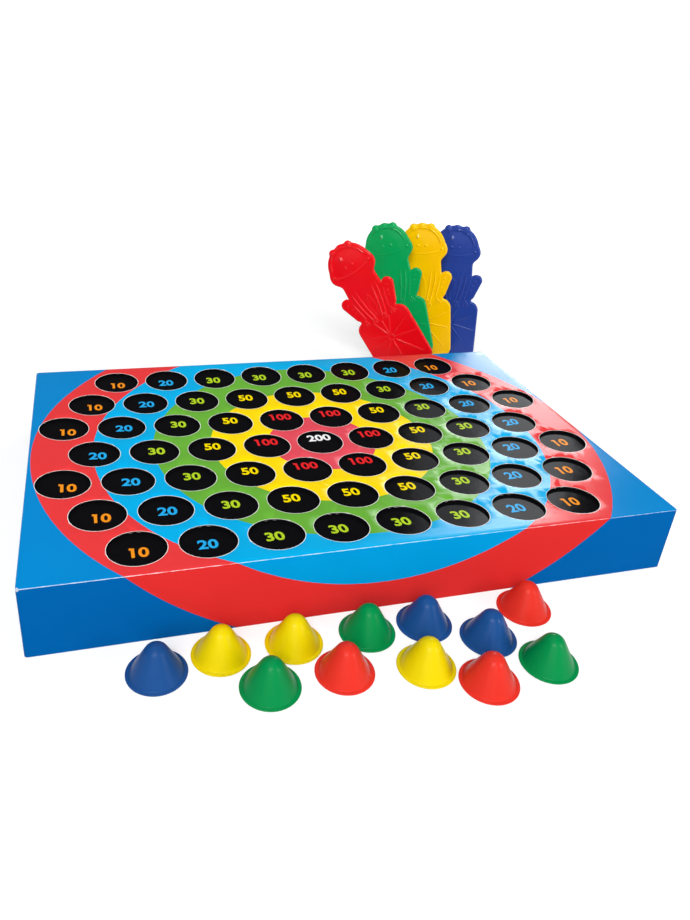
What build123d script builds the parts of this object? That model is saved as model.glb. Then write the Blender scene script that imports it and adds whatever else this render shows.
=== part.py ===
from build123d import *
import math
import os

# Carton box: a target lid that drops right down to the table over a covered tray
box_length = 370.0
box_depth = 250.0
box_height = 42.0
card = 1.0
slip_gap = 0.6  # between nested cartons, on each side
glue_tab_length = 26.0  # folded corner tab, along the short wall
glue_tab_trim = 3.0  # the tab stays this short of the wall's free edge

# Target panel: rows of punched holes, each row centred on the lid
hole_diameter = 30.8
hole_pitch = 36.6
row_pitch = 34.0
holes_per_row = (8, 9, 10, 9, 10, 9, 8)
hole_sides = 16  # round forms that repeat are many-sided, which keeps the set light

# Score cover: an inner lid on the tray's rim, whose top carries the scores under the holes
score_drop = 2.2  # its top below the target panel's face
cover_skirt = 15.0

# Cone hats: small enough to drop through a hole
hat_hole_clearance = 0.3  # brim to hole, on each side
hat_height = 17.8
hat_wall = 0.9
brim_width = 2.1
brim_thickness = 1.0
hat_tip_radius = 6.6
hat_sides = 14
hat_tip_rings = 3

# Flippers: a flat moulded frog sitting on a leaf plate
flipper_thickness = 2.4
relief_height = 0.6
ridge_width = 1.1
plate_width = 53.4
plate_height = 58.2
plate_corner = 9.0
frog_height = 72.0  # from the plate's top edge to the top of the crest
head_width = 47.4
jaw_height = 16.2
jaw_drop = 2.6  # jaw's centre below the head dome's
dome_radius = 21.7
eye_radius = 3.7
eye_spacing = 16.6
eye_sink = 1.9  # eye's centre inside the head dome's edge
crest_radius = 4.6
crest_rise = 0.6  # above the head's dome
neck_width = 33.4
hip_width = 39.6
leg_width = 11.1
leg_length = 15.3  # from the hip's centre to the knee's
leg_splay = 22.0  # degrees from upright
knee_rise = 21.0  # knee's centre above the plate's top edge
knee_spacing = 44.8
brow_radius = 18.1
nose_radius = 1.1
nose_sides = 6
nose_spacing = 7.4
nose_rise = 1.6  # above the head dome's centre
mouth_width = 36.0
mouth_radius = 72.0
mouth_drop = 2.6  # lowest point below the jaw's centre
arm_width = 6.0
arm_length = 29.0
arm_spacing = 15.0
arm_splay = 11.0  # degrees from upright
arm_taper = 92.0  # degrees at the arm's lower corners, so it widens upwards
finger_length = 6.0
finger_spread = 24.0  # degrees between fingers
fingers = 3
vein_count = 8
vein_margin = 4.0  # veins end this far inside the plate's edge
navel_radius = 3.0
navel_level_share = 0.59  # of the plate's height
navel_gap = 1.8  # from the navel to the start of a vein
vein_turn_share = 0.5  # first vein's turn from level, in steps between veins

# Loose pieces: where they stand around the box
hat_gap = 1.0
flipper_turn = 38.0  # degrees, faces turned towards the box's left

overrun = 2.0  # how far cutting shapes reach past the piece they cut

# Each hat's place: across from the box's middle and out from its front wall, in hat spacings
hat_place_shares = {
    "blue_1": (-3.96, 0.72),
    "blue_2": (0.61, 0.55),
    "blue_3": (1.56, 1.09),
    "yellow_1": (-2.93, 0.55),
    "yellow_2": (-1.72, 0.55),
    "yellow_3": (0.24, 1.48),
    "green_1": (-2.31, 1.37),
    "green_2": (-0.44, 0.55),
    "green_3": (2.28, 1.82),
    "red_1": (-1.09, 1.32),
    "red_2": (2.56, 0.55),
    "red_3": (1.1, 1.99),
}
# Each flipper's foot across from the box's middle, in box lengths, and behind its back wall,
# in box depths, with its lean in degrees
flipper_place_shares = {
    "red": (0.372, 0.146, 38.5),
    "green": (0.419, 0.332, 17.8),
    "yellow": (0.475, 0.361, 8.6),
    "blue": (0.542, 0.362, 3.6),
}

# Sizes that follow from the ones above
cover_length = box_length - 4 * card - 2 * slip_gap
cover_depth = box_depth - 2 * card - 2 * slip_gap
cover_top = box_height - score_drop
tray_length = cover_length - 4 * card - 2 * slip_gap
tray_depth = cover_depth - 2 * card - 2 * slip_gap
tray_height = cover_top - card
brim_radius = hole_diameter / 2 - hat_hole_clearance
bell_radius = brim_radius - brim_width
hat_spacing = 2 * brim_radius + hat_gap
dome_level = plate_height + frog_height - crest_rise - dome_radius
jaw_level = dome_level - jaw_drop


def carton(length, depth, height):
    """One folded blank: floor, four walls, and corner tabs glued inside the short walls."""
    outside = Box(length, depth, height, align=(Align.CENTER, Align.CENTER, Align.MIN))
    inside = Pos(0, 0, card) * Box(
        length - 2 * card, depth - 2 * card, height, align=(Align.CENTER, Align.CENTER, Align.MIN)
    )
    tray = outside - inside
    tab_height = height - card - glue_tab_trim
    tab_x = length / 2 - card - card / 2
    tab_y = depth / 2 - card - glue_tab_length / 2
    for side in (-1, 1):
        for end in (-1, 1):
            tab = Box(card, glue_tab_length, tab_height, align=(Align.CENTER, Align.CENTER, Align.MIN))
            tray += Pos(side * tab_x, end * tab_y, card) * tab
    return tray


def hole_centres():
    """Middle of each punched hole, row by row from the back."""
    middle_row = (len(holes_per_row) - 1) / 2
    centres = []
    for row, count in enumerate(holes_per_row):
        for place in range(count):
            across = (place - (count - 1) / 2) * hole_pitch
            centres.append((across, (middle_row - row) * row_pitch))
    return centres


def upturned(tray, top):
    """A carton turned over, with its floor as a top at the height asked."""
    return Pos(0, 0, top) * Rot(180, 0, 0) * tray


def target_lid():
    lid = upturned(carton(box_length, box_depth, box_height), box_height)
    outline = RegularPolygon(hole_diameter / 2, hole_sides, major_radius=False)
    punch = Pos(0, 0, box_height - card - overrun) * extrude(outline, card + 2 * overrun)
    return lid - [Pos(x, y, 0) * punch for x, y in hole_centres()]


def score_cover():
    return upturned(carton(cover_length, cover_depth, cover_skirt), cover_top)


def bell(foot_radius, tip_radius, tip_level, foot_level):
    """Faceted cone from a foot ring up to a round tip, which its side meets as a tangent."""
    reach = math.hypot(foot_radius, tip_level)
    side_angle = math.atan2(foot_radius, tip_level) - math.asin(tip_radius / reach)
    contact = math.pi / 2 - side_angle
    rings = [(foot_radius - foot_level * math.tan(side_angle), foot_level)]
    for step in range(hat_tip_rings):
        angle = contact * (1 - step / hat_tip_rings)
        rings.append((tip_radius * math.sin(angle), tip_level + tip_radius * math.cos(angle)))
    rings.append((tip_radius * math.sin(contact / hat_tip_rings / 2), tip_level + tip_radius))
    bands = []
    for (lower, bottom), (upper, top) in zip(rings, rings[1:]):
        taper = math.degrees(math.atan2(lower - upper, top - bottom))
        outline = RegularPolygon(lower, hat_sides, major_radius=False)
        bands.append(Pos(0, 0, bottom) * extrude(outline, top - bottom, taper=taper))
    return bands[0] + bands[1:]


def cone_hat():
    tip_level = hat_height - hat_tip_radius
    outside = bell(bell_radius, hat_tip_radius, tip_level, 0)
    brim = extrude(RegularPolygon(brim_radius, hat_sides), brim_thickness)
    inside = bell(bell_radius - hat_wall, hat_tip_radius - hat_wall, tip_level, -overrun)
    return outside + brim - inside


def mirrored(shape, across, up, lean=0.0):
    """The shape on both sides of the flipper's middle line, leaning outwards."""
    right = Pos(across, up) * Rot(0, 0, -lean) * shape
    left = Pos(-across, up) * Rot(0, 0, lean) * shape
    return right + left


def flipper_outline():
    plate = Pos(0, plate_height / 2) * RectangleRounded(plate_width, plate_height, plate_corner)
    hip_level = plate_height - plate_corner
    trunk = Polygon(
        (-hip_width / 2, hip_level),
        (hip_width / 2, hip_level),
        (neck_width / 2, jaw_level),
        (-neck_width / 2, jaw_level),
        align=None,
    )
    head = Pos(0, dome_level) * Circle(dome_radius)
    jaw = Pos(0, jaw_level) * SlotOverall(head_width, jaw_height)
    eye_level = dome_level + math.sqrt((dome_radius - eye_sink) ** 2 - (eye_spacing / 2) ** 2)
    crest = Pos(0, dome_level + dome_radius + crest_rise - crest_radius) * Circle(crest_radius)
    eyes = mirrored(Circle(eye_radius), eye_spacing / 2, eye_level)
    splay = math.radians(leg_splay)
    knee_level = plate_height + knee_rise
    leg_x = knee_spacing / 2 - math.sin(splay) * leg_length / 2
    leg_y = knee_level - math.cos(splay) * leg_length / 2
    leg = Rot(0, 0, 90) * SlotCenterToCenter(leg_length, leg_width)
    legs = mirrored(leg, leg_x, leg_y, leg_splay)
    return plate + trunk + head + jaw + crest + eyes + legs


def arc_ridge(radius, half_width):
    """A raised line along the lowest part of a circle, as wide as asked."""
    ring = Circle(radius + ridge_width / 2) - Circle(radius - ridge_width / 2)
    depth = radius - math.sqrt(radius**2 - half_width**2)
    return ring & Pos(0, -radius) * Rectangle(2 * half_width, 2 * (depth + ridge_width))


def frog_relief():
    """Raised lines on the frog: brow, nose, mouth, arms and fingers."""
    brow = Rot(0, 0, 180) * arc_ridge(brow_radius, brow_radius - ridge_width)
    nose = mirrored(RegularPolygon(nose_radius, nose_sides), nose_spacing / 2, dome_level + nose_rise)
    mouth = Pos(0, jaw_level - mouth_drop + mouth_radius) * arc_ridge(mouth_radius, mouth_width / 2)
    arm = Trapezoid(arm_width, arm_length, arm_taper, align=Align.CENTER)
    arm_level = plate_height + arm_length / 2
    relief = Pos(0, dome_level) * brow + nose + mouth
    relief += mirrored(arm, arm_spacing / 2, arm_level, arm_splay)
    finger = Pos(0, -finger_length / 2) * Rectangle(ridge_width, finger_length)
    hand_x = arm_spacing / 2 - math.sin(math.radians(arm_splay)) * arm_length / 2
    for number in range(fingers):
        turn = (number - (fingers - 1) / 2) * finger_spread
        relief += mirrored(finger, hand_x, plate_height + ridge_width, turn)
    return relief


def leaf_relief():
    """Veins that radiate from the leaf's navel towards the plate's edge."""
    centre = plate_height * navel_level_share
    start = navel_radius + navel_gap
    relief = RegularPolygon(navel_radius, vein_count)
    for number in range(vein_count):
        angle = math.radians(360 * (number + vein_turn_share) / vein_count)
        to_side = (plate_width / 2 - vein_margin) / abs(math.cos(angle))
        free_height = plate_height - centre if math.sin(angle) > 0 else centre
        to_end = (free_height - vein_margin) / abs(math.sin(angle))
        length = min(to_side, to_end) - start
        vein = Pos(start + length / 2, 0) * Rectangle(length, ridge_width)
        relief += Rot(0, 0, math.degrees(angle)) * vein
    return Pos(0, centre) * relief


def flipper():
    """Upright in its own frame: foot at the origin, face towards -Y."""
    body = extrude(Plane.XZ * flipper_outline(), flipper_thickness)
    face = flipper_thickness + relief_height
    return body + extrude(Plane.XZ * frog_relief(), face) + extrude(Plane.XZ * leaf_relief(), face)


def stand_flipper(shape, across_share, behind_share, lean):
    """Leans the flipper sideways on its lower corner, which stays on the table."""
    turn = math.radians(lean)
    lift = (plate_width / 2 - plate_corner) * math.sin(turn) + plate_corner * (1 - math.cos(turn))
    behind = box_depth / 2 + behind_share * box_depth
    return Pos(across_share * box_length, behind, lift) * Rot(0, 0, -flipper_turn) * Rot(0, -lean, 0) * shape


pieces = {
    "base_tray": carton(tray_length, tray_depth, tray_height),
    "score_cover": score_cover(),
    "target_lid": target_lid(),
}
for name, (across_share, out_share) in hat_place_shares.items():
    front = -box_depth / 2 - out_share * hat_spacing
    pieces["hat_" + name] = Pos(across_share * hat_spacing, front, 0) * cone_hat()
for name, (across_share, behind_share, lean) in flipper_place_shares.items():
    pieces["flipper_" + name] = stand_flipper(flipper(), across_share, behind_share, lean)

os.makedirs("parts", exist_ok=True)
for name, piece in pieces.items():
    export_step(piece, os.path.join("parts", name + ".step"))
    print(name, round(piece.volume), "mm3")
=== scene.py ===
import math

import bmesh
import bpy
from mathutils import Matrix, Vector


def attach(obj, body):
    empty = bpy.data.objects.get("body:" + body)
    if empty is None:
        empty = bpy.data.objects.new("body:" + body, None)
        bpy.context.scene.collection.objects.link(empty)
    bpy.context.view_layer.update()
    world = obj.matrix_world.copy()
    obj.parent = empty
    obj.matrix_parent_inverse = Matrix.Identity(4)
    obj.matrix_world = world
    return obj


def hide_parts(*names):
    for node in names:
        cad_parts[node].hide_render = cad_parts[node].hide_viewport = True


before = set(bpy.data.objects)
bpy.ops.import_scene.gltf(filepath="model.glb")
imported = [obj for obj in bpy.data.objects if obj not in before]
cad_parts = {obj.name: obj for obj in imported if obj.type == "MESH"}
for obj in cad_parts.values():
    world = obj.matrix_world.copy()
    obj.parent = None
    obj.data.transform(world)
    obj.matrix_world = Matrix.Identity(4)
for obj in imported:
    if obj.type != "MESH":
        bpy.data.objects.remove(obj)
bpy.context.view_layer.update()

mm = 0.001
scene = bpy.context.scene
scene.view_settings.view_transform = "Standard"
factorIn, firstColour, secondColour, colourOut = 0, 6, 7, 2  # a Mix node's sockets for colour


def srgb(red, green, blue):
    channels = []
    for value in (red, green, blue):
        share = value / 255
        channels.append(share / 12.92 if share <= 0.04045 else ((share + 0.055) / 1.055) ** 2.4)
    return (*channels, 1.0)


def addNode(tree, kind, **settings):
    node = tree.nodes.new(kind)
    for name, value in settings.items():
        setattr(node, name, value)
    return node


def join(tree, source, output, target, socket):
    tree.links.new(source.outputs[output], target.inputs[socket])


def feed(tree, value, target, socket):  # a plain value, or a node and its output
    if isinstance(value, tuple) and isinstance(value[0], bpy.types.Node):
        join(tree, *value, target, socket)
    else:
        target.inputs[socket].default_value = value


def addMath(tree, operation, *values):
    node = addNode(tree, "ShaderNodeMath", operation=operation)
    for socket, value in enumerate(values):
        feed(tree, value, node, socket)
    return node


def addMix(tree, factor, first, second):
    mix = addNode(tree, "ShaderNodeMix", data_type="RGBA")
    for value, socket in ((factor, factorIn), (first, firstColour), (second, secondColour)):
        feed(tree, value, mix, socket)
    return mix


def addRange(tree, source, output, before, after, interpolation="LINEAR"):
    spread = addNode(tree, "ShaderNodeMapRange", interpolation_type=interpolation)
    for socket, value in zip(("From Min", "From Max", "To Min", "To Max"), (*before, *after)):
        spread.inputs[socket].default_value = value
    join(tree, source, output, spread, "Value")
    return spread


def addNoise(tree, source, output, scale, detail, roughness=0.5):
    noise = addNode(tree, "ShaderNodeTexNoise")
    feed(tree, scale, noise, "Scale")
    noise.inputs["Detail"].default_value = detail
    noise.inputs["Roughness"].default_value = roughness
    join(tree, source, output, noise, "Vector")
    return noise


def addBump(tree, source, output, shader, strength, distance):
    bump = addNode(tree, "ShaderNodeBump")
    bump.inputs["Strength"].default_value = strength
    bump.inputs["Distance"].default_value = distance
    join(tree, source, output, bump, "Height")
    join(tree, bump, "Normal", shader, "Normal")


def startMaterial(name, roughness, specular):
    material = bpy.data.materials.new(name)
    material.use_nodes = True
    tree = material.node_tree
    shader = tree.nodes["Principled BSDF"]
    shader.inputs["Roughness"].default_value = roughness
    shader.inputs["Specular IOR Level"].default_value = specular
    return material, tree, shader


def addPiece(name, shape, materials, smoothAngle=35):
    mesh = bpy.data.meshes.new(name)
    shape.edges.index_update()
    rim = [edge.index for edge in shape.edges if edge.is_boundary]
    shape.to_mesh(mesh)
    shape.free()
    for material in materials:
        mesh.materials.append(material)
    mesh.shade_smooth()
    mesh.set_sharp_from_angle(angle=math.radians(smoothAngle))
    for index in rim:  # a card's cut edge stays crisp once it has thickness
        mesh.edges[index].use_edge_sharp = True
    piece = bpy.data.objects.new(name, mesh)
    scene.collection.objects.link(piece)
    return piece


# Shared finishes

finishSettings = {
    "cardSpecular": 0.3, "fibreScale": 420, "fibreStretch": (1.0, 3.0, 3.0), "fibreBump": (0.25, 0.0001),
    "grainScale": 900, "grainBump": (0.08, 0.00006),
}


def startGroup(name, inputs, outputs):
    group = bpy.data.node_groups.new(name, "ShaderNodeTree")
    for side, sockets in (("INPUT", inputs), ("OUTPUT", outputs)):
        for socket, kind in sockets.items():
            group.interface.new_socket(socket, in_out=side, socket_type="NodeSocket" + kind)
    return group, addNode(group, "NodeGroupInput"), addNode(group, "NodeGroupOutput")


def makeMouldedSkin():
    group, inside, outside = startGroup(
        "mouldedSkin",
        {"Tint": "Color", "Deep Tint": "Color",
         "Cloud Scale": "Float", "Grain Scale": "Float", "Polish": "Float"},
        {"Colour": "Color", "Roughness": "Float", "Height": "Float"})
    place = addNode(group, "ShaderNodeTexCoord")
    cloud = addNoise(group, place, "Object", (inside, "Cloud Scale"), 3)
    grain = addNoise(group, place, "Object", (inside, "Grain Scale"), 6, 0.65)
    mix = addMix(group, (cloud, "Fac"), (inside, "Tint"), (inside, "Deep Tint"))
    gloss = addRange(group, cloud, "Fac", (0.3, 0.7), (0.85, 1.2))
    rough = addMath(group, "MULTIPLY", (gloss, "Result"), (inside, "Polish"))
    join(group, mix, colourOut, outside, "Colour")
    join(group, rough, 0, outside, "Roughness")
    join(group, grain, "Fac", outside, "Height")
    return group


def makeCardFibre(settings):
    group, inside, outside = startGroup(
        "cardFibre", {"Paper": "Color", "Fleck": "Color", "Fibre Scale": "Float"},
        {"Colour": "Color", "Height": "Float"})
    place = addNode(group, "ShaderNodeTexCoord")
    stretch = addNode(group, "ShaderNodeMapping")
    stretch.inputs["Scale"].default_value = settings["fibreStretch"]
    join(group, place, "Object", stretch, "Vector")
    fibre = addNoise(group, stretch, "Vector", (inside, "Fibre Scale"), 8, 0.7)
    fleck = addRange(group, fibre, "Fac", (0.52, 0.7), (0.0, 1.0))
    mix = addMix(group, (fleck, "Result"), (inside, "Paper"), (inside, "Fleck"))
    join(group, mix, colourOut, outside, "Colour")
    join(group, fibre, "Fac", outside, "Height")
    return group


mouldedSkin = makeMouldedSkin()
cardFibre = makeCardFibre(finishSettings)


def cardMaterial(name, paper, fleck, roughness):
    material, tree, shader = startMaterial(name, roughness, finishSettings["cardSpecular"])
    fibre = addNode(tree, "ShaderNodeGroup", node_tree=cardFibre)
    fibre.inputs["Paper"].default_value = paper
    fibre.inputs["Fleck"].default_value = fleck
    fibre.inputs["Fibre Scale"].default_value = finishSettings["fibreScale"]
    join(tree, fibre, "Colour", shader, "Base Color")
    addBump(tree, fibre, "Height", shader, *finishSettings["fibreBump"])
    return material


def plasticMaterial(name, tint, deepTint, cloudScale, roughness, specular):
    material, tree, shader = startMaterial(name, roughness, specular)
    skin = addNode(tree, "ShaderNodeGroup", node_tree=mouldedSkin)
    skin.inputs["Tint"].default_value = tint
    skin.inputs["Deep Tint"].default_value = deepTint
    skin.inputs["Cloud Scale"].default_value = cloudScale
    skin.inputs["Grain Scale"].default_value = finishSettings["grainScale"]
    skin.inputs["Polish"].default_value = roughness
    join(tree, skin, "Colour", shader, "Base Color")
    join(tree, skin, "Roughness", shader, "Roughness")
    addBump(tree, skin, "Height", shader, *finishSettings["grainBump"])
    return material


cutCard = cardMaterial("cutCard", srgb(244, 242, 238), srgb(214, 208, 200), 0.8)
greyBoard = cardMaterial("greyBoard", srgb(196, 188, 176), srgb(150, 140, 128), 0.85)
# painted shade: near-black card on the holes' cut walls and the lid's free edges, standing in for the shade
# they lie in
cutEdgeShade = cardMaterial("cutEdgeShade", srgb(44, 42, 42), srgb(26, 25, 26), 0.9)
trayCard = cardMaterial("trayCard", srgb(232, 228, 220), srgb(200, 192, 180), 0.8)


# Folded cartons, shared by the lid and the score cover

tabSettings = {"length": 26.0, "trim": 3.0, "inset": 1.52, "endGap": 1.05, "share": 0.96, "edge": 0.15}


def bowl(x, y, halfLength, halfDepth):  # 1 in the middle, 0 along the edges
    across = max(0.0, 1 - (x / halfLength) ** 2)
    along = max(0.0, 1 - (y / halfDepth) ** 2)
    return across * along


def roundedOutline(shape, settings, level):
    # one closed ring of edges: the panel's outline inside its fold
    inset = settings["foldRadius"]
    made = bmesh.ops.create_grid(shape, x_segments=1, y_segments=1, size=1)
    for vert in made["verts"]:
        vert.co.x *= (settings["halfLength"] - inset) * mm
        vert.co.y *= (settings["halfDepth"] - inset) * mm
        vert.co.z = level * mm
    bmesh.ops.bevel(shape, geom=made["verts"], offset=settings["cornerRadius"] * mm, offset_type="OFFSET",
                    segments=4, profile=0.5, affect="VERTICES", material=-1)
    bmesh.ops.delete(shape, geom=shape.faces[:], context="FACES_ONLY")


def cutGrid(shape, settings):
    # divides a panel so that it can sag
    for axis, half in ((0, settings["halfLength"]), (1, settings["halfDepth"])):
        count = int(2 * half / settings["gridStep"])
        for cut in range(1, count):
            point, normal = Vector(), Vector()
            point[axis] = (-half + 2 * half * cut / count + settings["gridNudge"]) * mm
            normal[axis] = 1
            bmesh.ops.bisect_plane(shape, geom=shape.verts[:] + shape.edges[:] + shape.faces[:],
                                   plane_co=point, plane_no=normal, dist=1e-7)


def outlineNormal(point, settings):
    # outward direction of a rectangle with rounded corners
    inset = (settings["foldRadius"] + settings["cornerRadius"]) * mm
    innerX = settings["halfLength"] * mm - inset
    innerY = settings["halfDepth"] * mm - inset
    x = point.x - max(-innerX, min(innerX, point.x))
    y = point.y - max(-innerY, min(innerY, point.y))
    if abs(x) < 1e-7 and abs(y) < 1e-7:
        x = point.x / settings["halfLength"]
        y = point.y / settings["halfDepth"]
    return Vector((x, y, 0)).normalized()


def foldWalls(shape, settings, outline, bottom):
    # the outline's edges roll over the fold and run down to the free edge
    radius = settings["foldRadius"] * mm
    ring = outline
    steps = settings["foldSteps"]
    for step in range(steps + 1):
        made = bmesh.ops.extrude_edge_only(shape, edges=ring)["geom"]
        verts = [item for item in made if isinstance(item, bmesh.types.BMVert)]
        ring = [item for item in made if isinstance(item, bmesh.types.BMEdge)]
        if step < steps:
            before = math.pi / 2 * step / steps
            after = math.pi / 2 * (step + 1) / steps
            out = radius * (math.sin(after) - math.sin(before))
            down = radius * (math.cos(before) - math.cos(after))
            for vert in verts:
                vert.co += outlineNormal(vert.co, settings) * out - Vector((0, 0, down))
        else:
            for vert in verts:
                vert.co.z = bottom * mm


def faceUp(shape):
    bmesh.ops.recalc_face_normals(shape, faces=shape.faces[:])
    if sum(face.normal.z * face.calc_area() for face in shape.faces) < 0:
        bmesh.ops.reverse_faces(shape, faces=shape.faces[:])


def thicken(piece, card, insideSlot, edgeSlot):  # slots are counted on from each face's own
    wall = piece.modifiers.new("cardThickness", "SOLIDIFY")
    wall.thickness = card * mm
    wall.offset = -1
    wall.use_even_offset = True
    wall.material_offset = insideSlot
    wall.material_offset_rim = edgeSlot


def makeTabs(name, settings, body, top, height):
    # glued corner tabs inside the short walls
    shape = bmesh.new()
    card = settings["card"]
    tall = height - card - tabSettings["trim"]
    across = settings["halfLength"] - tabSettings["inset"] * card
    along = settings["halfDepth"] - tabSettings["endGap"] * card - tabSettings["length"] / 2
    size = Matrix.Diagonal((card * tabSettings["share"] * mm, tabSettings["length"] * mm, tall * mm, 1))
    for side in (-1, 1):
        for end in (-1, 1):
            place = Matrix.Translation((side * across * mm, end * along * mm, (top - card - tall / 2) * mm))
            tab = bmesh.ops.create_cube(shape, size=1, matrix=place @ size)
            edges = list({edge for vert in tab["verts"] for edge in vert.link_edges})
            bmesh.ops.bevel(shape, geom=edges, offset=tabSettings["edge"] * mm, segments=1, profile=0.5,
                            affect="EDGES", material=-1)
    tabs = addPiece(name, shape, [greyBoard])
    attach(tabs, body)


# Target lid

lidSettings = {
    "halfLength": 185.0, "halfDepth": 125.0, "height": 42.0, "card": 1.0,
    "rows": (8, 9, 10, 9, 10, 9, 8), "holePitch": 36.6, "rowPitch": 34.0,
    "holeRadius": 15.4, "rimWidth": 0.32, "rimShift": -0.2, "rimDrop": 0.1, "holeSides": 48, "nick": 0.55,
    "sag": 6.3, "sagMargin": 1.0, "gridStep": 9.5, "gridNudge": 0.013, "edgeZone": 4.0,
    "foldRadius": 0.6, "foldSteps": 4, "cornerRadius": 1.3, "panelTilt": 0.6, "smoothAngle": 50,
    "wallSlot": 2, "cutSlot": 4,
    "ringRadii": (35.5, 73.5, 111.0, 147.5, 184.0), "ringReach": 250.0,
    "topColours": ((228, 76, 90), (255, 220, 0), (104, 174, 56),
                   (0, 172, 228), (230, 58, 60), (0, 134, 204)),
    # the walls carry a darker copy of the top's print: painted shade for walls that get less light than the
    # top
    "shadedWallColours": ((209, 44, 43), (230, 196, 0), (86, 152, 47),
                    (3, 145, 205), (209, 44, 43), (2, 91, 160)),
    "printShift": (1.0, -1.0), "roughness": 0.2, "gloss": (0.14, 0.3),
    "topSpecular": 0.1, "wallSpecular": 0.006,
    "inkScale": 24, "inkTone": (0.93, 1.05), "rippleScale": 38, "rippleBump": (0.25, 0.0004),
    # the white on the folds is partly real rub and partly a painted highlight, wider at the left where the
    # light falls
    "rubHighlightLeft": 0.35, "rubHighlightRight": 0.28, "rubHighlightOther": 0.1, "rubHighlightCorner": 1.8, "rubHighlightShare": 0.72,
    "rubHighlightScale": 260, "rubHighlightRagged": (0.6, 1.15), "rubHighlightColour": (216, 220, 226),
}


def holePlaces(settings):
    places = []
    middleRow = (len(settings["rows"]) - 1) / 2
    for row, count in enumerate(settings["rows"]):
        for place in range(count):
            across = (place - (count - 1) / 2) * settings["holePitch"]
            places.append((across, (middleRow - row) * settings["rowPitch"], row, place))
    return places


def targetRings(tree, place, settings, colours):
    right, back = settings["printShift"]
    shift = addNode(tree, "ShaderNodeMapping")
    shift.inputs["Location"].default_value = (-right * mm, -back * mm, 0)
    reach = addNode(tree, "ShaderNodeVectorMath", operation="LENGTH")
    join(tree, place, "UV", shift, "Vector")
    join(tree, shift, "Vector", reach, "Vector")
    share = addMath(tree, "DIVIDE", (reach, "Value"), settings["ringReach"] * mm)
    rings = addNode(tree, "ShaderNodeValToRGB")
    ramp = rings.color_ramp
    ramp.interpolation = "CONSTANT"
    ramp.elements[0].color = srgb(*colours[0])
    ramp.elements.remove(ramp.elements[1])
    for radius, colour in zip(settings["ringRadii"], colours[1:]):
        ramp.elements.new(radius / settings["ringReach"]).color = srgb(*colour)
    join(tree, share, 0, rings, "Fac")
    return rings


def foldRubAndHighlight(tree, place, settings):
    # folds rub white, and the same white line is also a painted highlight, most at the front left where the
    # light falls
    halfLength, halfDepth = settings["halfLength"] * mm, settings["halfDepth"] * mm
    parts = addNode(tree, "ShaderNodeSeparateXYZ")
    join(tree, place, "UV", parts, "Vector")
    width = addRange(tree, parts, "X", (-halfLength, halfLength),
                     (settings["rubHighlightLeft"] * mm, settings["rubHighlightRight"] * mm))
    noise = addNoise(tree, place, "UV", settings["rubHighlightScale"], 4)
    ragged = addRange(tree, noise, "Fac", (0.3, 0.7), settings["rubHighlightRagged"])
    corner = addNode(tree, "ShaderNodeVectorMath", operation="DISTANCE")
    corner.inputs[1].default_value = (-halfLength, -halfDepth, 0)
    join(tree, place, "UV", corner, 0)
    rubHighlight = addMath(tree, "LESS_THAN", (corner, "Value"), settings["rubHighlightCorner"] * mm)
    other = settings["rubHighlightOther"] * mm
    for axis, line, reach in (("Y", -halfDepth, (width, "Result")), ("Y", halfDepth, other),
                              ("X", -halfLength, other), ("X", halfLength, other)):
        offset = addMath(tree, "SUBTRACT", (parts, axis), line)
        gap = addMath(tree, "ABSOLUTE", (offset, 0))
        limit = addMath(tree, "MULTIPLY", (ragged, "Result"), reach)
        edgeRubHighlight = addMath(tree, "LESS_THAN", (gap, 0), (limit, 0))
        rubHighlight = addMath(tree, "MAXIMUM", (rubHighlight, 0), (edgeRubHighlight, 0))
    return addMath(tree, "MULTIPLY", (rubHighlight, 0), settings["rubHighlightShare"])


def printMaterial(name, settings, colours, specular):
    material, tree, shader = startMaterial(name, settings["roughness"], specular)
    place = addNode(tree, "ShaderNodeUVMap", uv_map="unfold")
    rings = targetRings(tree, place, settings, colours)
    ink = addNoise(tree, place, "UV", settings["inkScale"], 5)  # ink lies a little uneven
    tone = addRange(tree, ink, "Fac", (0.0, 1.0), settings["inkTone"])
    inked = addNode(tree, "ShaderNodeVectorMath", operation="SCALE")
    join(tree, rings, "Color", inked, 0)
    join(tree, tone, "Result", inked, "Scale")
    # the folds' white: rub and a painted highlight
    rubHighlight = foldRubAndHighlight(tree, place, settings)
    finish = addMix(tree, (rubHighlight, 0), (inked, 0), srgb(*settings["rubHighlightColour"]))
    join(tree, finish, colourOut, shader, "Base Color")
    ripple = addNoise(tree, place, "UV", settings["rippleScale"], 4, 0.6)  # glossy lamination
    addBump(tree, ripple, "Fac", shader, *settings["rippleBump"])
    gloss = addRange(tree, ink, "Fac", (0.0, 1.0), settings["gloss"])
    join(tree, gloss, "Result", shader, "Roughness")
    return material


def unfoldPrint(shape, settings):
    layer = shape.loops.layers.uv.new("unfold")
    top = settings["height"] * mm
    for face in shape.faces:
        normal = face.normal
        for loop in face.loops:
            x, y, z = loop.vert.co
            drop = max(0.0, top - z)
            if normal.z > settings["panelTilt"]:
                loop[layer].uv = (x, y)
            elif abs(normal.y) >= abs(normal.x):
                loop[layer].uv = (x, math.copysign(settings["halfDepth"] * mm + drop, normal.y))
            else:
                loop[layer].uv = (math.copysign(settings["halfLength"] * mm + drop, normal.x), y)


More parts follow.
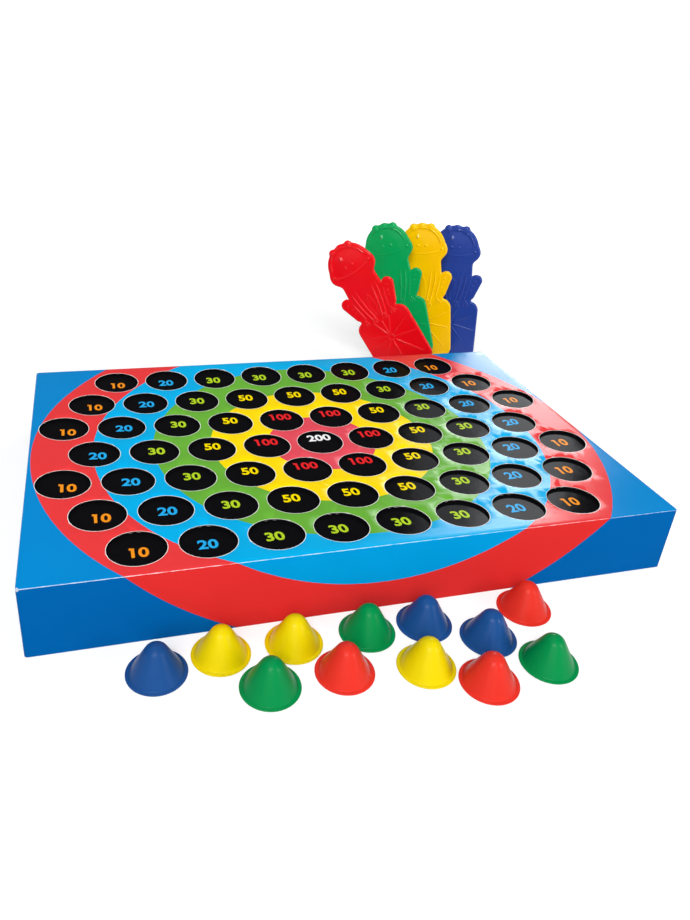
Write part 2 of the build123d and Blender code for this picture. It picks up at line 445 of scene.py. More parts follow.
def punchHoles(shape, settings):
    rim = (settings["holeRadius"] + settings["rimWidth"]) * mm
    for x, y, row, place in holePlaces(settings):
        centre = Vector((x * mm, (y + settings["rimShift"]) * mm, settings["height"] * mm))
        made = bmesh.ops.create_circle(shape, cap_ends=False, segments=settings["holeSides"], radius=rim,
                                       matrix=Matrix.Translation(centre))
        tears = ((0.75 + 0.1 * place, 0.4 + 0.6 * math.sin(3 * row + 7 * place)),
                 (4.0 - 0.1 * row, 0.6 * math.cos(5 * row + 4 * place)))
        for lean, reach in tears:  # where the punch tore, different at each hole
            torn = Vector((math.cos(lean), math.sin(lean), 0))
            vert = max(made["verts"], key=lambda spot: (spot.co - centre).dot(torn))
            vert.co += torn * max(0.0, reach) * settings["nick"] * mm


def cutRims(shape, settings, holes):
    # white cut rim round each hole
    made = bmesh.ops.extrude_edge_only(shape, edges=holes)["geom"]
    centres = [Vector((x * mm, y * mm, 0)) for x, y, _, _ in holePlaces(settings)]
    for item in made:
        if isinstance(item, bmesh.types.BMFace):
            item.material_index = settings["cutSlot"]
        elif isinstance(item, bmesh.types.BMVert):
            flat = Vector((item.co.x, item.co.y, 0))
            centre = min(centres, key=lambda spot: (spot - flat).length_squared)
            item.co.xy = (centre + (flat - centre).normalized() * settings["holeRadius"] * mm).xy
            item.co.z -= settings["rimDrop"] * mm


def makeLid(settings):
    shape = bmesh.new()
    roundedOutline(shape, settings, settings["height"])
    punchHoles(shape, settings)
    bmesh.ops.triangle_fill(shape, use_beauty=True, use_dissolve=False, edges=shape.edges[:],
                            normal=(0, 0, 1))
    cutGrid(shape, settings)
    faceUp(shape)
    outerX = (settings["halfLength"] - settings["edgeZone"]) * mm
    outerY = (settings["halfDepth"] - settings["edgeZone"]) * mm
    outline, holes = [], []
    for edge in [edge for edge in shape.edges if edge.is_boundary]:
        middle = (edge.verts[0].co + edge.verts[1].co) / 2
        outer = abs(middle.y) > outerY or abs(middle.x) > outerX
        (outline if outer else holes).append(edge)
    cutRims(shape, settings, holes)
    sagX = settings["halfLength"] - settings["sagMargin"]
    sagY = settings["halfDepth"] - settings["sagMargin"]
    for vert in shape.verts:
        vert.co.z -= settings["sag"] * mm * bowl(vert.co.x / mm, vert.co.y / mm, sagX, sagY)
    foldWalls(shape, settings, outline, 0)
    faceUp(shape)
    shape.normal_update()
    unfoldPrint(shape, settings)
    for face in shape.faces:
        if face.material_index == 0 and face.normal.z < settings["panelTilt"]:
            face.material_index = settings["wallSlot"]
    top = printMaterial("printedTarget", settings, settings["topColours"], settings["topSpecular"])
    # the walls take the darker, painted-shade copy of the print
    shadedSides = printMaterial("printedWallShaded", settings, settings["shadedWallColours"], settings["wallSpecular"])
    # the last slot, which the cut walls of the holes and the free edges take, is painted shade
    slots = [top, greyBoard, shadedSides, greyBoard, cutCard, cutEdgeShade]
    lid = addPiece("targetLid", shape, slots, settings["smoothAngle"])
    thicken(lid, settings["card"], 1, 3)
    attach(lid, "lid")
    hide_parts("target_lid")


makeLid(lidSettings)
makeTabs("lidTabs", lidSettings, "lid", lidSettings["height"], lidSettings["height"])
print("target lid made")


# Score cover with its numbers

coverSettings = {
    "halfLength": 182.4, "halfDepth": 123.4, "top": 39.8, "skirt": 15.0, "card": 1.0, "smoothAngle": 50,
    "sag": 6.0, "sagHalfLength": 178.0, "sagHalfDepth": 120.0,
    "wave": 0.04, "waveReach": (13.0, 11.0), "waveStart": (0.7, 1.9),
    "slowWave": (0.6, 29.0, 23.0), "calmRise": 3,
    "foldRadius": 0.6, "foldSteps": 3, "cornerRadius": 1.2, "gridStep": 6.0, "gridNudge": 0.0,
    "numberShift": (-1.4, -1.8), "numberSagShift": (3.1, 10.3), "numberTurn": 0.0088, "numberLift": 0.08,
    "leftDrift": (-0.9, 3.2), "leftFrom": -1.0, "driftReach": 150.0,
    "numberSize": 11.3, "numberWidth": 0.96, "numberWeight": 0.03, "numberCurve": 5,
    "flag": (1.2, 1.8), "flagOverlap": 0.2,
    "scores": ("10 20 30 30 30 30 20 10", "10 20 30 50 50 50 30 20 10", "10 20 30 50 100 100 50 30 20 10",
               "20 30 50 100 200 100 50 30 20", "10 20 30 50 100 100 50 30 20 10",
               "10 20 30 50 50 50 30 20 10", "10 20 30 30 30 30 20 10"),
    "inks": {"10": (248, 150, 32), "20": (40, 172, 236), "30": (182, 214, 42), "50": (255, 226, 0),
             "100": (232, 40, 44), "200": (250, 250, 250)},
    "inkRoughness": 0.14, "inkScale": 700, "inkDim": 0.9, "specular": 0.012,
    "blacks": ((9, 9, 11), (17, 17, 20)), "blackRoughness": 0.1, "blackGloss": (0.06, 0.16),
    "mottleScale": 190, "mottleBump": (0.25, 0.0002),
}


def coverLevel(x, y, settings):
    sunk = bowl(x, y, settings["sagHalfLength"], settings["sagHalfDepth"])
    calm = min(1.0, sunk * settings["calmRise"])
    (reachX, reachY), (startX, startY) = settings["waveReach"], settings["waveStart"]
    share, slowX, slowY = settings["slowWave"]
    wave = math.sin(x / reachX + startX) * math.sin(y / reachY + startY)
    wave += share * math.sin(x / slowX - y / slowY)
    return settings["top"] - settings["sag"] * sunk + calm * settings["wave"] * wave


def scoreMaterial(settings):
    material, tree, shader = startMaterial("blackGlossPrint", settings["blackRoughness"], settings["specular"])
    place = addNode(tree, "ShaderNodeTexCoord")
    mottle = addNoise(tree, place, "Object", settings["mottleScale"], 6, 0.6)
    tone = addMix(tree, (mottle, "Fac"), *(srgb(*black) for black in settings["blacks"]))
    join(tree, tone, colourOut, shader, "Base Color")
    gloss = addRange(tree, mottle, "Fac", (0.0, 1.0), settings["blackGloss"])
    join(tree, gloss, "Result", shader, "Roughness")
    addBump(tree, mottle, "Fac", shader, *settings["mottleBump"])
    return material


def inkMaterial(name, settings, colour):
    material, tree, shader = startMaterial(name, settings["inkRoughness"], settings["specular"])
    place = addNode(tree, "ShaderNodeTexCoord")
    speck = addNoise(tree, place, "Object", settings["inkScale"], 4)
    full = srgb(*colour)
    dim = tuple(channel * settings["inkDim"] for channel in full[:3]) + (1.0,)
    tone = addMix(tree, (speck, "Fac"), dim, full)
    join(tree, tone, colourOut, shader, "Base Color")
    return material


def makeCover(settings):
    shape = bmesh.new()
    roundedOutline(shape, settings, settings["top"])
    bmesh.ops.contextual_create(shape, geom=shape.edges[:])
    cutGrid(shape, settings)
    border = [edge for edge in shape.edges if edge.is_boundary]
    for vert in shape.verts:
        vert.co.z = coverLevel(vert.co.x / mm, vert.co.y / mm, settings) * mm
    foldWalls(shape, settings, border, settings["top"] - settings["skirt"])
    faceUp(shape)
    slots = [scoreMaterial(settings), greyBoard, cutCard]
    cover = addPiece("scoreCover", shape, slots, settings["smoothAngle"])
    thicken(cover, settings["card"], 1, 2)
    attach(cover, "cover")
    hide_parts("score_cover")


def numberSpots(settings, lid):
    spots = {}
    for x, y, row, place in holePlaces(lid):
        sunk = bowl(x, y, settings["sagHalfLength"], settings["sagHalfDepth"])
        across = x + settings["numberShift"][0] + sunk * settings["numberSagShift"][0]
        back = y + settings["numberShift"][1] + sunk * settings["numberSagShift"][1]
        back += x * settings["numberTurn"]
        if x < settings["leftFrom"]:  # the sheet is printed a little narrower on the left
            start, growth = settings["leftDrift"]
            across += start + growth * (x / settings["driftReach"]) ** 2
        spots.setdefault(settings["scores"][row].split()[place], []).append((across, back))
    return spots


def drawScore(score, settings):
    letters = bpy.data.curves.new("score" + score, "FONT")
    letters.body = score
    letters.align_x = "CENTER"
    letters.align_y = "CENTER"
    letters.size = settings["numberSize"] * mm
    letters.offset = settings["numberWeight"] * settings["numberSize"] * mm
    letters.resolution_u = settings["numberCurve"]
    drawn = bpy.data.objects.new("drawnScore" + score, letters)
    scene.collection.objects.link(drawn)
    bpy.context.view_layer.update()
    flat = bpy.data.meshes.new_from_object(drawn.evaluated_get(bpy.context.evaluated_depsgraph_get()))
    bpy.data.objects.remove(drawn)
    return flat


def makeNumbers(settings, lid):
    for score, places in numberSpots(settings, lid).items():
        flat = drawScore(score, settings)
        shape = bmesh.new()
        for across, back in places:
            digits = bmesh.new()
            digits.from_mesh(flat)
            low = min(vert.co.y for vert in digits.verts)
            high = max(vert.co.y for vert in digits.verts)
            if score.startswith("1"):  # the one's flag
                stem = min(vert.co.x for vert in digits.verts) + settings["flagOverlap"] * mm
                wide, tall = settings["flag"][0] * mm / settings["numberWidth"], settings["flag"][1] * mm
                spot = Matrix.Translation((stem - wide / 2, high - tall / 2, 0))
                bmesh.ops.create_grid(digits, x_segments=1, y_segments=1, size=0.5,
                                      matrix=spot @ Matrix.Diagonal((wide, tall, 1, 1)))
            for vert in digits.verts:
                vert.co.x = vert.co.x * settings["numberWidth"] + across * mm
                vert.co.y = vert.co.y - (low + high) / 2 + back * mm
                level = coverLevel(vert.co.x / mm, vert.co.y / mm, settings)
                vert.co.z = (level + settings["numberLift"]) * mm
            copy = bpy.data.meshes.new("digitCopy")
            digits.to_mesh(copy)
            digits.free()
            shape.from_mesh(copy)
            bpy.data.meshes.remove(copy)
        bpy.data.meshes.remove(flat)
        ink = inkMaterial("ink" + score, settings, settings["inks"][score])
        numbers = addPiece("scores" + score, shape, [ink])
        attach(numbers, "cover")


makeCover(coverSettings)
makeTabs("coverTabs", coverSettings, "cover", coverSettings["top"], coverSettings["skirt"])
makeNumbers(coverSettings, lidSettings)
print("score cover made")


# Tray: the solid is right as it is, with its card finish

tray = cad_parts["base_tray"]
tray.data.materials.clear()
tray.data.materials.append(trayCard)
print("tray finished")


# Cone hats

hatSettings = {
    "brimRadius": 15.1, "bellRadius": 13.0, "height": 17.8, "tipRadius": 6.6, "wall": 0.9,
    "brimThickness": 0.75, "brimSteps": 5, "innerLip": ((-0.5, 0.9), (0.0, 0.15), (0.2, 0.0)),
    "flare": 1.1, "flareOut": 0.5, "flareIn": 0.55, "flareSteps": 4, "innerSteps": 9, "outerSteps": 12,
    "turns": 64, "spacing": 31.2, "boxHalfDepth": 125.0, "smoothAngle": 60,
    "places": {
        "blue_1": (-3.96, 0.72), "blue_2": (0.61, 0.55), "blue_3": (1.56, 1.09),
        "yellow_1": (-2.93, 0.55), "yellow_2": (-1.72, 0.55), "yellow_3": (0.24, 1.48),
        "green_1": (-2.31, 1.37), "green_2": (-0.44, 0.55), "green_3": (2.28, 1.82),
        "red_1": (-1.09, 1.32), "red_2": (2.56, 0.55), "red_3": (1.1, 1.99),
    },
    "tints": {"blue": (28, 76, 137), "yellow": (222, 200, 4), "green": (0, 136, 71), "red": (218, 51, 38)},
    "deepTints": {"blue": (23, 68, 126), "yellow": (215, 192, 2),
                  "green": (0, 128, 65), "red": (209, 44, 33)},
    "finish": (45, 0.3, 0.1),
}


def hatProfile(settings):
    # half section from the inner tip down, round the brim and up to the outer tip
    tipLevel = settings["height"] - settings["tipRadius"]
    foot, wall = settings["bellRadius"], settings["wall"]

    def side(footRadius, tip):
        reach = math.hypot(footRadius, tipLevel)
        return math.atan2(footRadius, tipLevel) - math.asin(tip / reach)

    def dome(tip, angle, count):
        contact = math.pi / 2 - angle
        return [(tip * math.sin(contact * step / count), tipLevel + tip * math.cos(contact * step / count))
                for step in range(count + 1)]

    inner = side(foot - wall, settings["tipRadius"] - wall)
    outer = side(foot, settings["tipRadius"])
    points = dome(settings["tipRadius"] - wall, inner, settings["innerSteps"])
    for out, level in settings["innerLip"]:
        points.append((foot - wall + out, level))
    edge = settings["brimThickness"] / 2
    for step in range(settings["brimSteps"] + 1):
        turn = math.pi * (step / settings["brimSteps"] - 0.5)
        points.append((settings["brimRadius"] - edge + edge * math.cos(turn), edge + edge * math.sin(turn)))
    flare = settings["flare"]
    for step in range(settings["flareSteps"] + 1):
        turn = (math.pi / 2 - outer) * step / settings["flareSteps"]
        points.append((foot + flare * settings["flareOut"] - flare * math.sin(turn) * settings["flareIn"],
                       settings["brimThickness"] + flare * (1 - math.cos(turn))))
    points += reversed(dome(settings["tipRadius"], outer, settings["outerSteps"]))
    return points


def makeHats(settings):
    finishes = {}
    for colour, tint in settings["tints"].items():
        deepTint = srgb(*settings["deepTints"][colour])
        finishes[colour] = plasticMaterial("hat" + colour.title(), srgb(*tint), deepTint, *settings["finish"])
    for name, (across, out) in settings["places"].items():
        shape = bmesh.new()
        line = [shape.verts.new((radius * mm, 0, level * mm)) for radius, level in hatProfile(settings)]
        edges = [shape.edges.new(pair) for pair in zip(line, line[1:])]
        bmesh.ops.spin(shape, geom=line + edges, cent=(0, 0, 0), axis=(0, 0, 1), angle=2 * math.pi,
                       steps=settings["turns"], use_merge=True)
        bmesh.ops.remove_doubles(shape, verts=shape.verts[:], dist=1e-6)
        bmesh.ops.recalc_face_normals(shape, faces=shape.faces[:])
        front = -(settings["boxHalfDepth"] + out * settings["spacing"])
        place = (across * settings["spacing"] * mm, front * mm, 0)
        bmesh.ops.translate(shape, verts=shape.verts[:], vec=place)
        colour = name.split("_")[0]
        hat = addPiece("hat_" + name + "_moulded", shape, [finishes[colour]], settings["smoothAngle"])
        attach(hat, "hat_" + name)
        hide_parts("hat_" + name)


makeHats(hatSettings)
print("hats made")


# Flippers: a moulded frog on a leaf plate

flipperSettings = {
    "plateWidth": 53.4, "plateHeight": 58.2, "plateCorner": 9.0, "thickness": 2.4,
    "cell": 0.42, "sheetHalfWidth": 29.5, "sheetHeight": 133.0, "sheetDrop": 0.6, "trimShare": 0.35,
    "sweeps": 4, "settles": 3, "probe": 0.02, "edgeSmooth": 0.5, "innerSmooth": 0.3,
    "edgeRound": 0.9, "edgeFall": 0.8, "smoothAngle": 70,
    "places": {"red": (0.372, 0.146, 38.5), "green": (0.419, 0.332, 17.8),
               "yellow": (0.475, 0.361, 8.6), "blue": (0.542, 0.362, 3.6)},
    "boxLength": 370.0, "boxDepth": 250.0, "turn": 38.0,
    "dome": (107.9, 21.7), "jaw": (105.3, 15.6, 8.1), "eye": (8.3, 125.9, 3.7), "crest": (125.6, 4.6),
    "trunk": (49.2, 19.8, 16.7), "leg": (16.7, 65.0, 22.4, 79.2, 5.55),
    "blends": {"jaw": 2.0, "brow": 0.8, "trunk": 1.0, "leg": 1.2, "head": 1.5},
    "tints": {"red": (240, 14, 26), "green": (0, 168, 90), "yellow": (255, 200, 2), "blue": (39, 68, 155)},
    "deepTints": {"red": (229, 8, 20), "green": (0, 159, 83),
                  "yellow": (255, 192, 0), "blue": (34, 60, 145)},
    "finish": (30, 0.2, 0.24), "dotFinish": (30, 0.12, 1.0),
}

reliefSettings = {  # raised lines as place, width and height, bumps as x, y, radius and height
    "headFrom": 88, "bodySpan": (50, 90), "leafTo": 57,
    "swell": (17.0, 15.5, 0.5, 0.6, 1.3), "brow": (14, 166, 18.1, 0.6, 0.8),
    "dot": (-3.9, 118.0, 1.3, 2.3), "dotRise": 1.1,
    "eye": (8.3, 125.7, 3.2, 0.7), "crown": (0, 127.0, 2.8, 0.5), "nostril": (3.7, 109.5, 1.2, 0.6),
    "mouth": (18.5, 101.6, 18, 3.2, 0.55, 0.35), "mouthEnd": (18.8, 106.2, 1.5, 0.6),
    "chin": (15, 90.6, 15, 1.6, 0.7, 0.3),
    "armSpan": (55, 87), "armFade": 9, "armWidth": 0.6, "arms": ((3.2, 5.4, 0.9, 0.8), (6.8, 6.4, 1.2, 0.85)),
    "bellySpan": (56, 80), "belly": (68, 0.24, 2.5, 0.5, 0.28),
    "fingers": (5.4, 57.4, 5.4, (-34, -6, 22), 0.6, 0.55), "toes": (14.0, 58.6, 5.6, (-22, 8, 38), 0.6, 0.5),
    "thigh": (12.6, 60.0, 17.0, 78.0), "thighLine": (0.6, 0.6), "thighFade": (80, 8),
    "warts": ((21.6, 78.2, 1.1, 0.35), (19.8, 73.6, 1.1, 0.35), (18.4, 69.2, 1.0, 0.3)),
    "navel": 34.3, "navelRing": (2.7, 0.7, 0.5),
    "veins": 9, "veinTurn": 20, "veinFrom": 4.4, "veinClear": 4.0,
    "veinLengths": (24.5, 31.0), "veinSide": 0.2, "veinShort": 0.8, "veinLine": (0.6, 0.8),
    "veinFade": (60, 0.4), "stem": (4.2, 51.0, 0.65, 0.55),
}


def clamp(share):
    return max(0.0, min(1.0, share))


def capsule(x, y, ax, ay, bx, by, radius):
    wide, tall = bx - ax, by - ay
    share = clamp(((x - ax) * wide + (y - ay) * tall) / (wide * wide + tall * tall))
    return math.hypot(x - ax - share * wide, y - ay - share * tall) - radius


def softUnion(a, b, reach):
    blend = max(0.0, reach - abs(a - b)) / reach
    return min(a, b) - blend * blend * reach / 4


def frogOutline(x, y, settings):
    # distance to the flipper's outline, less than 0 inside
    side = abs(x)
    corner = settings["plateCorner"]
    across = side - settings["plateWidth"] / 2 + corner
    along = abs(y - settings["plateHeight"] / 2) - settings["plateHeight"] / 2 + corner
    plate = math.hypot(max(across, 0), max(along, 0)) + min(max(across, along), 0) - corner
    hipLevel, hip, neck = settings["trunk"]
    jawLevel, jawReach, jawRadius = settings["jaw"]
    trunkHalf = hip + (neck - hip) * (y - hipLevel) / (jawLevel - hipLevel)
    trunk = max(side - trunkHalf, hipLevel - y, y - jawLevel)
    leg = capsule(side, y, *settings["leg"])
    dome = math.hypot(x, y - settings["dome"][0]) - settings["dome"][1]
    jaw = capsule(side, y, 0, jawLevel, jawReach, jawLevel, jawRadius)
    eye = math.hypot(side - settings["eye"][0], y - settings["eye"][1]) - settings["eye"][2]
    crest = math.hypot(x, y - settings["crest"][0]) - settings["crest"][1]
    blends = settings["blends"]
    head = softUnion(softUnion(dome, jaw, blends["jaw"]), min(eye, crest), blends["brow"])
    body = softUnion(softUnion(plate, trunk, blends["trunk"]), leg, blends["leg"])
    return softUnion(body, head, blends["head"])


def ridge(distance, width, height):
    share = max(0.0, 1 - (distance / width) ** 2)
    return height * share * share


def mound(x, y, cx, cy, radius, height):
    return height * max(0.0, 1 - ((x - cx) ** 2 + (y - cy) ** 2) / radius ** 2)


def curvedLine(x, y, halfWidth, level, reach, lift, width, height):
    return ridge(y - level - (x / reach) ** 2 * lift, width, height) if abs(x) < halfWidth else 0.0


def rays(side, y, fromX, fromY, length, leans, width, height):
    # short raised lines that fan out downwards: fingers and toes
    rise = 0.0
    for lean in leans:
        turn = math.radians(lean)
        tip = (fromX + length * math.sin(turn), fromY - length * math.cos(turn))
        rise = max(rise, ridge(capsule(side, y, fromX, fromY, *tip, 0.0), width, height))
    return rise


def browDot(x, y, relief):
    # a small polished oval on the brow
    cx, cy, wide, tall = relief["dot"]
    return max(0.0, 1 - ((x - cx) / wide) ** 2 - ((y - cy) / tall) ** 2)


def headRelief(x, y, relief, middle):
    side = abs(x)
    wide, tall, up, height, power = relief["swell"]
    rise = height * max(0.0, 1 - (x / wide) ** 2 - ((y - middle - up) / tall) ** 2) ** power
    start, end, radius, width, height = relief["brow"]
    if start < math.degrees(math.atan2(y - middle, x)) < end:
        rise = max(rise, ridge(math.hypot(x, y - middle) - radius, width, height))
    rise += relief["dotRise"] * browDot(x, y, relief)
    rise = max(rise, mound(side, y, *relief["eye"]), mound(x, y, *relief["crown"]))
    rise += mound(side, y, *relief["nostril"])
    rise += curvedLine(x, y, *relief["mouth"]) + mound(side, y, *relief["mouthEnd"])
    return rise - curvedLine(x, y, *relief["chin"])


def bodyRelief(x, y, relief):
    # arms run from the shoulders down between the knees, lines fade upwards
    side = abs(x)
    low, high = relief["armSpan"]
    fade = clamp((high - y) / relief["armFade"])
    share = clamp((y - low) / (high - low))
    rise = 0.0
    if low < y < high:
        for start, spread, bow, height in relief["arms"]:
            line = start + spread * share + bow * math.sin(share * math.pi)
            rise = max(rise, fade * ridge(side - line, relief["armWidth"], height))
    if relief["bellySpan"][0] < y < relief["bellySpan"][1]:
        level, squeeze, radius, width, height = relief["belly"]
        rise = max(rise, fade * ridge(math.hypot(x, (y - level) * squeeze) - radius, width, height))
    rise = max(rise, rays(side, y, *relief["fingers"]))
    width, height = relief["thighLine"]
    thighFade = clamp((relief["thighFade"][0] - y) / relief["thighFade"][1])
    rise = max(rise, ridge(capsule(side, y, *relief["thigh"], 0.0), width, height * thighFade))
    for wart in relief["warts"]:
        rise += mound(side, y, *wart)
    return max(rise, rays(side, y, *relief["toes"]))


def leafRelief(x, y, relief):
    middle, start = relief["navel"], relief["veinFrom"]
    reach = math.hypot(x, y - middle)
    radius, width, height = relief["navelRing"]
    rise = ridge(reach - radius, width, height)
    if reach < relief["veinClear"]:
        return rise
    width, height = relief["veinLine"]
    fadeReach, least = relief["veinFade"]
    for vein in range(relief["veins"]):
        turn = math.radians(360 / relief["veins"] * vein + relief["veinTurn"])
        across, up = math.sin(turn), math.cos(turn)
        length = relief["veinLengths"][0 if up > -relief["veinSide"] else 1]
        tall = length * up * (relief["veinShort"] if up > relief["veinSide"] else 1.0)
        near = capsule(x, y, start * across, middle + start * up, length * across, middle + tall, 0.0)
        rise = max(rise, ridge(near, width, height * max(least, 1 - reach / fadeReach)))
    bottom, top, width, height = relief["stem"]
    return max(rise, ridge(capsule(x, y, 0, middle + bottom, 0, top, 0.0), width, height))


def frogRelief(x, y, settings, relief):
    rise = 0.0
    if y > relief["headFrom"]:
        rise = max(rise, headRelief(x, y, relief, settings["dome"][0]))
    if relief["bodySpan"][0] < y < relief["bodySpan"][1]:
        rise = max(rise, bodyRelief(x, y, relief))
    if y < relief["leafTo"]:
        rise = max(rise, leafRelief(x, y, relief))
    return rise


def settleEdge(shape, settings):
    # the sheet's stepped edge is drawn onto the outline and evened out
    probe = settings["probe"]
    for sweep in range(settings["sweeps"]):
        edge = [vert for vert in shape.verts if vert.is_boundary]
        if sweep:
            bmesh.ops.smooth_vert(shape, verts=edge, factor=settings["edgeSmooth"],
                                  use_axis_x=True, use_axis_y=True)
        for vert in edge:
            for _ in range(settings["settles"]):
                x, y = vert.co.x, vert.co.y
                here = frogOutline(x, y, settings)
                slopeX = (frogOutline(x + probe, y, settings) - here) / probe
                slopeY = (frogOutline(x, y + probe, settings) - here) / probe
                vert.co.x -= here * slopeX
                vert.co.y -= here * slopeY


def makeFlipperShape(settings, relief):
    shape = bmesh.new()
    cell, wide, tall = settings["cell"], settings["sheetHalfWidth"], settings["sheetHeight"]
    bmesh.ops.create_grid(shape, x_segments=int(2 * wide / cell), y_segments=int(tall / cell), size=1)
    for vert in shape.verts:
        vert.co.x, vert.co.y = vert.co.x * wide, (vert.co.y + 1) / 2 * tall - settings["sheetDrop"]
    trim = -cell * settings["trimShare"]
    outside = [vert for vert in shape.verts if frogOutline(vert.co.x, vert.co.y, settings) > trim]
    bmesh.ops.delete(shape, geom=outside, context="VERTS")
    loose = [vert for vert in shape.verts if not vert.link_faces]
    bmesh.ops.delete(shape, geom=loose, context="VERTS")
    settleEdge(shape, settings)
    inner = [vert for vert in shape.verts if not vert.is_boundary]
    bmesh.ops.smooth_vert(shape, verts=inner, factor=settings["innerSmooth"], use_axis_x=True, use_axis_y=True)
    made = bmesh.ops.extrude_face_region(shape, geom=shape.faces[:])["geom"]
    edgeRound = settings["edgeRound"]
    for vert in [item for item in made if isinstance(item, bmesh.types.BMVert)]:
        depth = min(edgeRound, max(0.0, -frogOutline(vert.co.x, vert.co.y, settings)))
        fall = edgeRound - math.sqrt(max(0.0, edgeRound ** 2 - (edgeRound - depth) ** 2))
        raised = depth / edgeRound * frogRelief(vert.co.x, vert.co.y, settings, relief)
        vert.co.z = settings["thickness"] - fall * settings["edgeFall"] + raised
    for face in shape.faces:
        middle = face.calc_center_median()
        if middle.z > settings["thickness"] and browDot(middle.x, middle.y, relief) > 0:
            face.material_index = 1
    bmesh.ops.recalc_face_normals(shape, faces=shape.faces[:])
    return shape


def makeFlippers(settings, relief):
    base = makeFlipperShape(settings, relief)
    mould = bpy.data.meshes.new("flipperMould")
    base.to_mesh(mould)
    base.free()
    upright = Matrix(((1, 0, 0, 0), (0, 0, -1, 0), (0, 1, 0, 0), (0, 0, 0, 1)))
    corner = settings["plateCorner"]
    for name, (across, back, lean) in settings["places"].items():
        shape = bmesh.new()
        shape.from_mesh(mould)
        turn = math.radians(lean)
        lift = (settings["plateWidth"] / 2 - corner) * math.sin(turn) + corner * (1 - math.cos(turn))
        behind = settings["boxDepth"] * (0.5 + back)
        place = (Matrix.Translation((across * settings["boxLength"] * mm, behind * mm, lift * mm))
                 @ Matrix.Rotation(-math.radians(settings["turn"]), 4, "Z")
                 @ Matrix.Rotation(-turn, 4, "Y") @ upright @ Matrix.Scale(mm, 4))
        bmesh.ops.transform(shape, matrix=place, verts=shape.verts[:])
        bmesh.ops.recalc_face_normals(shape, faces=shape.faces[:])
        tint, deepTint = srgb(*settings["tints"][name]), srgb(*settings["deepTints"][name])
        finish = plasticMaterial("flipper" + name.title(), tint, deepTint, *settings["finish"])
        polish = plasticMaterial("browDot" + name.title(), tint, deepTint, *settings["dotFinish"])
        flipper = addPiece("flipper_" + name + "_moulded", shape, [finish, polish], settings["smoothAngle"])
        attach(flipper, "flipper_" + name)
        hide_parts("flipper_" + name)
    bpy.data.meshes.remove(mould)


makeFlippers(flipperSettings, reliefSettings)
print("flippers made")


# Floor, backdrop, light and camera

stageSettings = {
    "floorHalf": 14.0, "floorDrop": 0.0003, "floorTone": 0.5, "floorRoughness": 0.9, "floorSpecular": 0.05,
    "glow": (0.57, 1.0), "glowReach": (0.3, 1.1),
    "roomTone": (0.16, 0.163, 0.17), "horizon": (0.1, 0.26),
}

lampSettings = {
    "frontKey": {"place": (-0.75, -1.65, 1.75), "aim": (0, 0, 0.03), "size": (1.2, 0.9), "power": 45},
    "frontFill": {"place": (-0.8, -2.4, 0.95), "aim": (0, 0, 0.03), "size": (2.6, 0.7), "power": 17},
    "overhead": {"place": (-0.2, 0.1, 1.9), "aim": (0, 0, 0), "size": (1.6, 1.6), "power": 7},
    "backPanel": {"place": (2.07, 3.1, 1.5), "aim": (0, 0, 0.04), "size": (0.92, 1.65), "power": 20,
                  "colour": (0.96, 0.98, 1.0)},
    "backCore": {"place": (2.2, 3.05, 1.5), "aim": (0, 0, 0.04), "size": (0.5, 1.65), "power": 22,
                 "colour": (0.96, 0.98, 1.0)},
    "rightStrip": {"place": (1.05, -1.1, 0.6), "aim": (0.0, -0.17, 0.02), "size": (0.22, 0.7), "power": 8},
}

cameraSettings = {
    "place": (-0.14237, -0.41682, 0.27675), "right": (0.96113, -0.2684, 0.0647),
    "down": (-0.065, -0.44771, -0.89181), "ahead": (0.26833, 0.85294, -0.44776),
    "lens": 29.098, "shift": (0.0421, -0.0507), "sensor": 36, "nearest": 0.02,
}


def seenDirectly(tree):
    # 1 for camera, glossy and transmission rays
    path = addNode(tree, "ShaderNodeLightPath")
    glossy = addMath(tree, "MAXIMUM", (path, "Is Camera Ray"), (path, "Is Glossy Ray"))
    return addMath(tree, "MAXIMUM", (glossy, 0), (path, "Is Transmission Ray"))


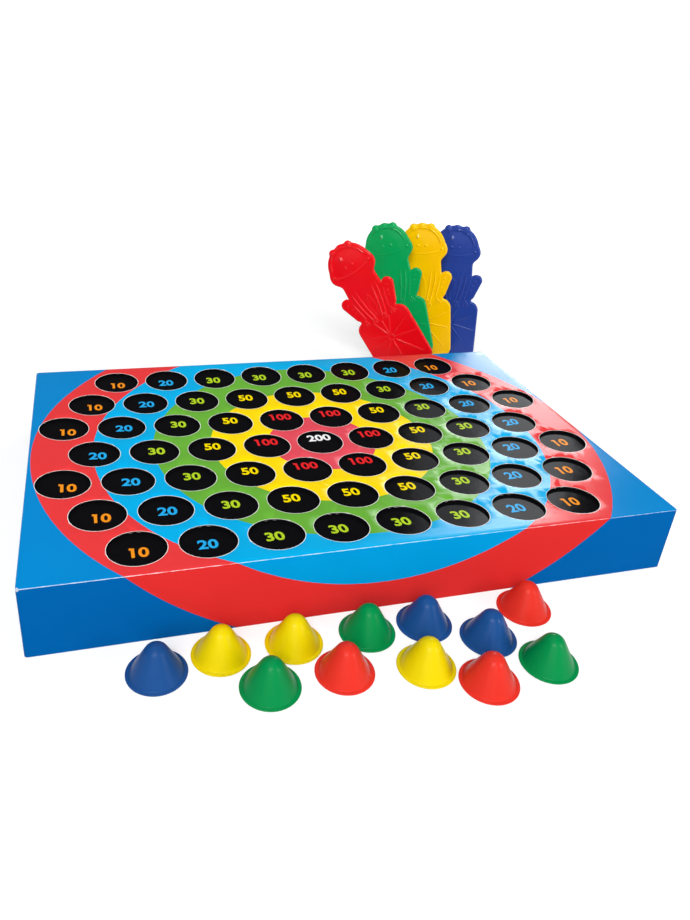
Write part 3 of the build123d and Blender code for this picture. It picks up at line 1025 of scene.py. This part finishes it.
def makeFloor(settings):
    shape = bmesh.new()
    bmesh.ops.create_grid(shape, x_segments=1, y_segments=1, size=settings["floorHalf"],
                          matrix=Matrix.Translation((0, 0, -settings["floorDrop"])))
    material, tree, shader = startMaterial("paleFloor", settings["floorRoughness"], settings["floorSpecular"])
    tone = settings["floorTone"]
    shader.inputs["Base Color"].default_value = (tone, tone, tone, 1)
    place = addNode(tree, "ShaderNodeTexCoord")
    reach = addNode(tree, "ShaderNodeVectorMath", operation="LENGTH")
    join(tree, place, "Object", reach, 0)
    spread = addRange(tree, reach, "Value", settings["glowReach"], settings["glow"], "SMOOTHSTEP")
    glow = addMath(tree, "MULTIPLY", (spread, "Result"), (seenDirectly(tree), 0))
    shader.inputs["Emission Color"].default_value = (1, 1, 1, 1)
    join(tree, glow, 0, shader, "Emission Strength")
    addPiece("paleFloor", shape, [material])


def makeRoom(settings):
    # dim room, white behind the object and, for reflections, towards the horizon
    world = bpy.data.worlds.new("softRoom")
    scene.world = world
    world.use_nodes = True
    tree = world.node_tree
    place = addNode(tree, "ShaderNodeTexCoord")
    parts = addNode(tree, "ShaderNodeSeparateXYZ")
    join(tree, place, "Generated", parts, "Vector")
    low = addRange(tree, parts, "Z", settings["horizon"], (1.0, 0.0), "SMOOTHSTEP")
    share = addMath(tree, "MULTIPLY", (low, "Result"), (seenDirectly(tree), 0))
    path = addNode(tree, "ShaderNodeLightPath")
    backdrop = addMath(tree, "MAXIMUM", (path, "Is Camera Ray"), (share, 0))
    tone = addMix(tree, (backdrop, 0), (*settings["roomTone"], 1), (1, 1, 1, 1))
    join(tree, tone, colourOut, tree.nodes["Background"], "Color")


def addLamp(name, place, aim, size, power, colour=(1, 1, 1)):
    lamp = bpy.data.lights.new(name, "AREA")
    lamp.shape = "RECTANGLE"
    lamp.size, lamp.size_y = size
    lamp.energy = power
    lamp.color = colour
    holder = bpy.data.objects.new(name, lamp)
    scene.collection.objects.link(holder)
    holder.location = place
    holder.rotation_mode = "QUATERNION"
    holder.rotation_quaternion = (Vector(aim) - Vector(place)).to_track_quat("-Z", "Y")
    holder.visible_camera = False


def makeCamera(settings):
    lens = bpy.data.cameras.new("photoCamera")
    lens.sensor_fit = "AUTO"
    lens.sensor_width = settings["sensor"]
    lens.lens = settings["lens"]
    lens.shift_x, lens.shift_y = settings["shift"]
    lens.clip_start = settings["nearest"]
    holder = bpy.data.objects.new("photoCamera", lens)
    scene.collection.objects.link(holder)
    right, down, ahead = (Vector(settings[name]) for name in ("right", "down", "ahead"))
    turn = Matrix((right, -down, -ahead)).transposed()
    holder.matrix_world = Matrix.Translation(settings["place"]) @ turn.to_4x4()
    scene.camera = holder


makeFloor(stageSettings)
makeRoom(stageSettings)
for lampName, lamp in lampSettings.items():
    addLamp(lampName, **lamp)
makeCamera(cameraSettings)

print("stage set")
